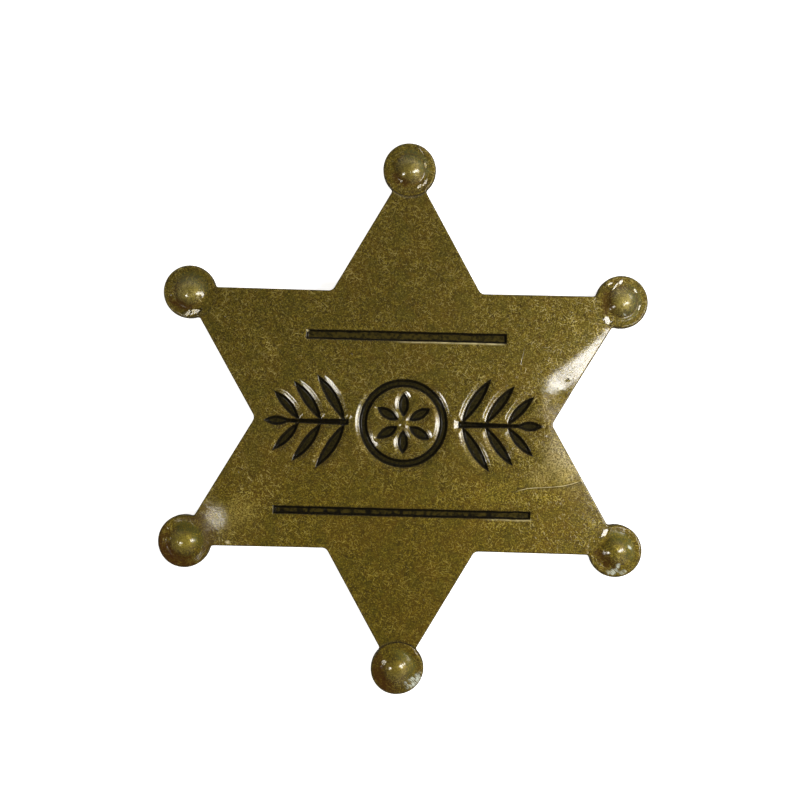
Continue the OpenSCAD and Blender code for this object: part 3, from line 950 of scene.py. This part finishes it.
# places where the plating has worn through to pale grey: place, half length, half width, turn
pale = np.zeros(len(u))
for px, py, a, b, turn, much in (
        (2.15, -33.10, 1.25, 0.62, 40, 0.95), (1.45, -33.35, 0.55, 0.40, 20, 0.9),
        (27.05, -18.50, 0.80, 0.42, 15, 0.80), (27.68, -17.75, 0.46, 0.20, 75, 0.95), (28.3, -18.5, 0.6, 0.30, 25, 0.45), (29.10, -15.30, 0.36, 0.17, -47, 1.0),
        (27.67, 14.20, 0.22, 0.22, 0, 0.8)):
    x, y = turned(u, v, px, py, turn)
    pale = np.maximum(pale, much * (1 - smooth(0.55, 1.25, np.hypot(x / a, y / b) + 0.25 * noise_d(u * 4.1, v * 4.1))))
add_values(star.data, "pale", pale * face)

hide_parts("star_plate")
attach(star, "root")

# ---------------------------------------------------------------- materials


class Nodes:
    """A small hand for writing node trees."""

    def __init__(self, name):
        self.mat = bpy.data.materials.new(name)
        self.mat.use_nodes = True
        self.tree = self.mat.node_tree
        self.tree.nodes.clear()
        self.out = self.tree.nodes.new("ShaderNodeOutputMaterial")

    def add(self, kind, **settings):
        node = self.tree.nodes.new(kind)
        for key, value in settings.items():
            setattr(node, key, value)
        return node

    def put(self, socket, value):
        if isinstance(value, bpy.types.NodeSocket):
            self.tree.links.new(value, socket)
        elif value is not None:
            socket.default_value = value

    def math(self, op, a, b=None, c=None, clamp=False):
        node = self.add("ShaderNodeMath", operation=op, use_clamp=clamp)
        for i, x in enumerate((a, b, c)):
            if x is not None:
                self.put(node.inputs[i], x)
        return node.outputs[0]

    def mix(self, fac, a, b):
        node = self.add("ShaderNodeMix", data_type="RGBA")
        self.put(node.inputs[0], fac)
        self.put(node.inputs[6], a)
        self.put(node.inputs[7], b)
        return node.outputs[2]

    def times(self, fac, a, b):
        """The colour a, multiplied by the colour b as far as fac says."""
        node = self.add("ShaderNodeMix", data_type="RGBA", blend_type="MULTIPLY")
        self.put(node.inputs[0], fac)
        self.put(node.inputs[6], a)
        self.put(node.inputs[7], b)
        return node.outputs[2]

    def blend(self, fac, a, b):
        """A number between a and b."""
        node = self.add("ShaderNodeMix", data_type="FLOAT")
        self.put(node.inputs[0], fac)
        self.put(node.inputs[2], a)
        self.put(node.inputs[3], b)
        return node.outputs[0]

    def ramp(self, x, lo, hi, to_lo=0.0, to_hi=1.0):
        node = self.add("ShaderNodeMapRange", interpolation_type="SMOOTHSTEP")
        self.put(node.inputs["Value"], x)
        node.inputs["From Min"].default_value = lo
        node.inputs["From Max"].default_value = hi
        node.inputs["To Min"].default_value = to_lo
        node.inputs["To Max"].default_value = to_hi
        return node.outputs[0]

    def value(self, name):
        return self.add("ShaderNodeAttribute", attribute_name=name, attribute_type="GEOMETRY").outputs["Fac"]

    def place(self, scale, turn=0.0, shift=(0, 0, 0), warp=None):
        """Coordinates in the object's own space, in units of 1 mm times scale."""
        co = self.add("ShaderNodeTexCoord").outputs["Object"]
        if warp is not None:
            co = self.vector("ADD", co, warp)
        m = self.add("ShaderNodeMapping")
        self.put(m.inputs["Vector"], co)
        k = 1000.0
        s = scale if isinstance(scale, tuple) else (scale,) * 3
        # turned first, then stretched
        r = self.add("ShaderNodeMapping")
        r.inputs["Rotation"].default_value = (0, 0, math.radians(turn))
        self.put(r.inputs["Vector"], co)
        self.put(m.inputs["Vector"], r.outputs[0])
        m.inputs["Scale"].default_value = tuple(k * x for x in s)
        m.inputs["Location"].default_value = shift
        return m.outputs[0]

    def vector(self, op, a, b=None, scale=None):
        node = self.add("ShaderNodeVectorMath", operation=op)
        self.put(node.inputs[0], a)
        if b is not None:
            self.put(node.inputs[1], b)
        if scale is not None:
            node.inputs["Scale"].default_value = scale
        return node.outputs[0]

    def noise(self, co, detail=2.0, rough=0.5, distort=0.0):
        node = self.add("ShaderNodeTexNoise")
        self.put(node.inputs["Vector"], co)
        node.inputs["Scale"].default_value = 1.0
        node.inputs["Detail"].default_value = detail
        node.inputs["Roughness"].default_value = rough
        node.inputs["Distortion"].default_value = distort
        return node.outputs[0]

    def wander(self, scale, amount):
        """A vector that drifts over the surface, to bend straight marks."""
        node = self.add("ShaderNodeTexNoise")
        self.put(node.inputs["Vector"], self.place(scale))
        node.inputs["Scale"].default_value = 1.0
        node.inputs["Detail"].default_value = 1.0
        shifted = self.vector("SUBTRACT", node.outputs[1], (0.5, 0.5, 0.5))
        return self.vector("SCALE", shifted, scale=amount * 0.001)

    def finish(self, shader):
        self.tree.links.new(shader.outputs[0], self.out.inputs["Surface"])
        return self.mat


def srgb(r, g, b):
    def lin(c):
        c /= 255
        return c / 12.92 if c <= 0.04045 else ((c + 0.055) / 1.055) ** 2.4
    return (lin(r), lin(g), lin(b), 1.0)


def antique_brass():
    m = Nodes("antique_brass")
    # fine speckle, mottling and slow drifts of hue
    fine = m.noise(m.place(5.4), 3.0, 0.70)
    dots = m.noise(m.place(4.1, shift=(3, 9, 2)), 2.0, 0.6)
    grain = m.noise(m.place(2.1, shift=(5, 2, 0)), 3.0, 0.6)
    hue = m.noise(m.place(0.95, shift=(8, 3, 0)), 3.0, 0.6)
    patch = m.noise(m.place(0.42, shift=(4, 1, 0)), 2.0, 0.5)
    cloud = m.noise(m.place(0.15, shift=(1, 7, 0)), 2.0, 0.5)
    # short hairlines in several directions, here and there
    lines = None
    for i, (turn, along, across, low) in enumerate(((8, 1.3, 8.2, 0.672), (38, 1.1, 8.6, 0.676), (72, 1.4, 8.6, 0.680), (112, 1.2, 8.2, 0.674), (150, 1.3, 8.6, 0.676))):
        bent = m.place((along, across, 1.0), turn, (3.1 * i, 1.7 * i, 0), warp=m.wander(0.4 + 0.1 * i, 0.35))
        streak = m.ramp(m.noise(bent, 1.0, 0.45), low, low + 0.05)
        lines = streak if lines is None else m.math("MAXIMUM", lines, streak)
    wall, floor_v, valley = m.value("wall"), m.value("floor"), m.value("valley")
    glare_and_wear, rim = m.value("glare_and_wear"), m.value("rim")
    lines = m.math("MULTIPLY", lines, m.ramp(patch, 0.35, 0.62, 0.30, 1.0))
    lines = m.math("MULTIPLY", lines, m.math("ADD", 0.55, m.math("MULTIPLY", glare_and_wear, 0.9)), clamp=True)
    speck = m.math("ADD", m.math("MULTIPLY", fine, 0.66), m.math("MULTIPLY", grain, 0.34))
    tone = m.ramp(speck, 0.365, 0.635)
    base = m.mix(tone, BRASS_DARK, BRASS_MID)
    base = m.mix(m.ramp(hue, 0.48, 0.66, 0.0, 0.30), base, BRASS_BROWN)
    base = m.mix(m.ramp(cloud, 0.44, 0.66, 0.0, 0.30), base, BRASS_BROWN)
    base = m.mix(m.ramp(patch, 0.50, 0.34, 0.0, 0.30), base, BRASS_GREEN)
    # painted light on the tops of the domes
    base = m.mix(m.math("MULTIPLY", m.value("lit_dome_top"), m.ramp(speck, 0.36, 0.56, 0.35, 1.0)), base, srgb(132, 120, 60))
    base = m.mix(m.ramp(fine, 0.585, 0.70, 0.0, 0.68), base, BRASS_LIGHT)
    # painted glare and wear, pale and speckled
    base = m.mix(m.math("MULTIPLY", glare_and_wear, m.ramp(fine, 0.49, 0.60, 0.0, 0.60)), base, BRASS_LIGHT)
    # painted glow
    base = m.mix(m.math("MULTIPLY", m.value("painted_glow"), m.ramp(fine, 0.40, 0.60, 0.10, 0.75)), base, srgb(184, 166, 112))
    base = m.mix(m.math("MULTIPLY", lines, 0.62), base, BRASS_LINE)
    base = m.mix(m.math("MULTIPLY", m.value("green"), m.ramp(speck, 0.62, 0.42, 0.25, 0.75)), base, srgb(74, 76, 46))
    base = m.mix(m.ramp(dots, 0.655, 0.72, 0.0, 0.65), base, BRASS_SPOT)
    base = m.times(m.value("warm"), base, (1.0, 0.975, 0.60, 1.0))
    rough_edge = m.ramp(m.noise(m.place(3.4, shift=(2, 8, 1)), 3.0, 0.62), 0.34, 0.68)
    # brown in the valleys round the domes: tarnish, and painted shade on their lower left
    base = m.mix(m.math("MULTIPLY", valley, m.blend(rough_edge, 0.95, 0.62)), base, srgb(58, 30, 1))
    base = m.mix(m.math("MULTIPLY", m.value("crease"), m.blend(rough_edge, 1.0, 0.55)), base, srgb(30, 22, 7))
    # floors and walls of the pressed work
    inlay = m.mix(rough_edge, srgb(40, 35, 12), srgb(15, 13, 4))
    inlay = m.mix(m.math("MULTIPLY", m.value("rule"), m.ramp(grain, 0.40, 0.58)), inlay, srgb(56, 48, 16))
    base = m.mix(m.math("MULTIPLY", floor_v, 0.95), base, inlay)
    # the dark band just outside the edges of the pressed work and the rules
    base = m.mix(m.math("MULTIPLY", m.value("edge_band"), m.blend(rough_edge, 0.4, 0.05)), base, srgb(26, 19, 7))
    base = m.mix(m.math("MULTIPLY", m.ramp(wall, 0.2, 0.7), m.blend(rough_edge, 1.0, 0.86)), base, srgb(10, 8, 4))
    # dark in the scratches and knocks, with painted shadow lines beside the longest scratch
    base = m.mix(m.math("MULTIPLY", m.value("mark"), m.blend(rough_edge, 0.9, 0.5)), base, srgb(26, 19, 8))
    # the bright scratch, with painted highlights along the rules' lower edges and painted glints
    base = m.mix(m.math("MULTIPLY", m.value("bright"), m.blend(rough_edge, 0.85, 0.6)), base, srgb(224, 210, 158))
    streaks = m.ramp(m.noise(m.place((1.1, 5.2, 1.0), 40, (2, 6, 0)), 2.0, 0.55), 0.40, 0.58)
    base = m.mix(m.math("MULTIPLY", m.value("pale"), m.math("MULTIPLY", streaks, m.ramp(fine, 0.34, 0.50, 0.5, 1.0))), base, srgb(186, 192, 178))
    # painted shade on the rounded outer edge
    base = m.mix(m.math("MULTIPLY", rim, 0.94), base, m.mix(rough_edge, srgb(40, 36, 24), srgb(62, 54, 34)))

    # the pressed work's black, the valleys' tarnish and painted shade, and the painted-dark edge, made rougher and
    # duller
    grime_and_shade = m.math("MAXIMUM", m.math("MAXIMUM", wall, floor_v), m.math("MULTIPLY", valley, 0.5), clamp=True)
    grime_and_shade = m.math("MAXIMUM", grime_and_shade, rim, clamp=True)
    rough = m.blend(m.ramp(fine, 0.3, 0.7), 0.52, 0.60)
    rough = m.math("ADD", rough, m.math("MULTIPLY", grime_and_shade, 0.14))
    rough = m.math("SUBTRACT", rough, m.math("MULTIPLY", lines, 0.06))
    metal = m.math("SUBTRACT", 0.74, m.math("MULTIPLY", grime_and_shade, 0.5), clamp=True)
    metal = m.math("SUBTRACT", metal, m.math("MULTIPLY", m.value("pale"), 0.7), clamp=True)
    relief = m.math("ADD", m.math("MULTIPLY", fine, 0.6), m.math("ADD", m.math("MULTIPLY", grain, 0.5), m.math("MULTIPLY", lines, -0.35)))
    bump = m.add("ShaderNodeBump")
    bump.inputs["Strength"].default_value = 0.50
    bump.inputs["Distance"].default_value = 0.00005
    m.put(bump.inputs["Height"], relief)
    film = m.add("ShaderNodeBump")
    film.inputs["Strength"].default_value = 0.48
    film.inputs["Distance"].default_value = 0.00002
    coarse = m.math("ADD", 1.0, m.math("MULTIPLY", m.value("grainy"), 2.6))
    m.put(film.inputs["Height"], m.math("MULTIPLY", m.math("SUBTRACT", relief, 0.55), coarse))
    b = m.add("ShaderNodeBsdfPrincipled")
    m.put(b.inputs["Base Color"], base)
    m.put(b.inputs["Metallic"], metal)
    m.put(b.inputs["Roughness"], rough)
    m.put(b.inputs["Normal"], bump.outputs[0])
    m.put(b.inputs["Coat Normal"], film.outputs[0])
    dull = m.math("ADD", m.math("MULTIPLY", rim, 0.85), m.math("MULTIPLY", m.math("MAXIMUM", wall, floor_v), 0.74))
    dull = m.math("ADD", dull, m.math("MULTIPLY", m.math("MAXIMUM", valley, m.value("green")), 0.88))
    dull = m.math("ADD", dull, m.math("MULTIPLY", m.value("turned"), 0.5))
    m.put(b.inputs["Coat Weight"], m.math("SUBTRACT", 0.9, dull, clamp=True))
    m.put(b.inputs["Specular IOR Level"], m.math("SUBTRACT", 0.25, m.math("MULTIPLY", grime_and_shade, 0.2), clamp=True))
    b.inputs["Coat Roughness"].default_value = 0.11
    b.inputs["Coat IOR"].default_value = 1.5
    return m.finish(b)


BRASS_DARK = srgb(51, 41, 4)
BRASS_MID = srgb(101, 86, 18)
BRASS_LIGHT = srgb(162, 145, 62)
BRASS_LINE = srgb(196, 179, 108)
BRASS_BROWN = srgb(91, 68, 11)
BRASS_GREEN = srgb(70, 66, 11)
BRASS_SPOT = srgb(28, 21, 3)


def plain_brass():
    m = Nodes("pin_brass")
    fine = m.noise(m.place(3.5), 3.0, 0.6)
    drawn = m.noise(m.place((0.25, 6.0, 6.0)), 2.0, 0.5)
    cloud = m.noise(m.place(0.35), 2.0, 0.5)
    base = m.mix(m.ramp(drawn, 0.35, 0.65), srgb(150, 130, 72), srgb(186, 166, 104))
    base = m.mix(m.ramp(cloud, 0.4, 0.7, 0.0, 0.5), base, srgb(120, 100, 50))
    rough = m.blend(m.ramp(fine, 0.3, 0.7), 0.26, 0.40)
    bump = m.add("ShaderNodeBump")
    bump.inputs["Strength"].default_value = 0.25
    bump.inputs["Distance"].default_value = 0.00002
    m.put(bump.inputs["Height"], m.math("ADD", drawn, m.math("MULTIPLY", fine, 0.4)))
    b = m.add("ShaderNodeBsdfPrincipled")
    m.put(b.inputs["Base Color"], base)
    m.put(b.inputs["Metallic"], 0.9)
    m.put(b.inputs["Roughness"], rough)
    m.put(b.inputs["Normal"], bump.outputs[0])
    return m.finish(b)


star.data.materials.append(antique_brass())
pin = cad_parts["pin_back"]
pin_mat = plain_brass()
for s in pin.material_slots:
    s.material = pin_mat

# -------------------------------------------------------- floor and lights


def pale_floor():
    m = Nodes("pale_floor")
    b = m.add("ShaderNodeBsdfPrincipled")
    b.inputs["Base Color"].default_value = (0.92, 0.92, 0.91, 1)
    b.inputs["Roughness"].default_value = 0.9
    b.inputs["Specular IOR Level"].default_value = 0.2
    b.inputs["Emission Color"].default_value = (1, 1, 1, 1)
    b.inputs["Emission Strength"].default_value = 0.80
    return m.finish(b)


floor = mesh_object("floor", np.array([(-900, -900, 0), (900, -900, 0), (900, 900, 0), (-900, 900, 0)], float), [(0, 1, 2, 3)])
floor.data.materials.append(pale_floor())

# a room that is dim overhead and bright towards its upper right side
world = bpy.data.worlds.new("studio")
bpy.context.scene.world = world
world.use_nodes = True
tree = world.node_tree
sky = tree.nodes["Background"]
sky.inputs["Color"].default_value = (1.0, 0.975, 0.90, 1)
way = tree.nodes.new("ShaderNodeTexCoord").outputs["Generated"]


def world_dot(vector, lo, hi, to_lo, to_hi):
    dot = tree.nodes.new("ShaderNodeVectorMath")
    dot.operation = "DOT_PRODUCT"
    tree.links.new(way, dot.inputs[0])
    dot.inputs[1].default_value = vector
    ramp = tree.nodes.new("ShaderNodeMapRange")
    ramp.interpolation_type = "SMOOTHSTEP"
    tree.links.new(dot.outputs["Value"], ramp.inputs["Value"])
    for name, x in (("From Min", lo), ("From Max", hi), ("To Min", to_lo), ("To Max", to_hi)):
        ramp.inputs[name].default_value = x
    return ramp.outputs[0]


overhead = world_dot((0, 0, 1), 0.55, 0.93, 1.0, 0.11)
sideways = world_dot((0.82, 0.57, 0), -0.75, 0.85, 0.16, 1.15)
strength = tree.nodes.new("ShaderNodeMath")
strength.operation = "MULTIPLY"
tree.links.new(overhead, strength.inputs[0])
tree.links.new(sideways, strength.inputs[1])
tree.links.new(strength.outputs[0], sky.inputs["Strength"])


def area_light(name, azimuth, zenith, dist, length, width, turn, radiance, color=(1, 1, 1)):
    """A bar of light that faces the badge; turn is how far its length leans from straight outwards."""
    a, z = math.radians(azimuth), math.radians(zenith)
    away = Vector((math.sin(z) * math.cos(a), math.sin(z) * math.sin(a), math.cos(z)))
    outward = Vector((math.cos(z) * math.cos(a), math.cos(z) * math.sin(a), -math.sin(z)))
    around = Vector((-math.sin(a), math.cos(a), 0))
    t = math.radians(turn)
    long_axis = outward * math.cos(t) + around * math.sin(t)
    short_axis = long_axis.cross(away)
    data = bpy.data.lights.new(name, "AREA")
    data.shape = "RECTANGLE"
    data.size, data.size_y = width, length
    data.energy = radiance * math.pi * width * length
    data.color = color
    ob = bpy.data.objects.new(name, data)
    ob.matrix_world = Matrix((short_axis, long_axis, away)).transposed().to_4x4()
    ob.location = away * dist
    bpy.context.scene.collection.objects.link(ob)
    return ob


area_light("bar_right", 0, 39, 0.8, 0.43, 0.16, 24, 23.5, (1.0, 0.99, 0.965))
area_light("lamp_low_right", -13.0, 27.9, 0.8, 0.125, 0.11, 20, 4, (1.0, 0.99, 0.96))
area_light("lamp_left", 212, 35, 0.8, 0.107, 0.107, 0, 50, (1.0, 0.965, 0.90))
area_light("window_top_right", 33, 78, 0.8, 0.12, 0.25, 0, 10, (0.97, 0.99, 1.0))

# ------------------------------------------------------------------ camera

PX = 0.1272
TURN = math.radians(1.45)
LENS = 200.0
right = Vector((math.cos(TURN), math.sin(TURN), 0))
up = Vector((-math.sin(TURN), math.cos(TURN), 0))
aim = (-3.40 * right + 20.91 * up) * PX
plane = 1.2
height = plane + 800 * PX * LENS / 36.0
data = bpy.data.cameras.new("camera")
data.lens = LENS
data.sensor_width = 36.0
data.clip_start = 0.01
camera = bpy.data.objects.new("camera", data)
camera.location = (aim.x * 0.001, aim.y * 0.001, height * 0.001)
camera.rotation_euler = (0, 0, TURN)
bpy.context.scene.collection.objects.link(camera)
bpy.context.scene.camera = camera
bpy.context.scene.view_settings.view_transform = "Standard"
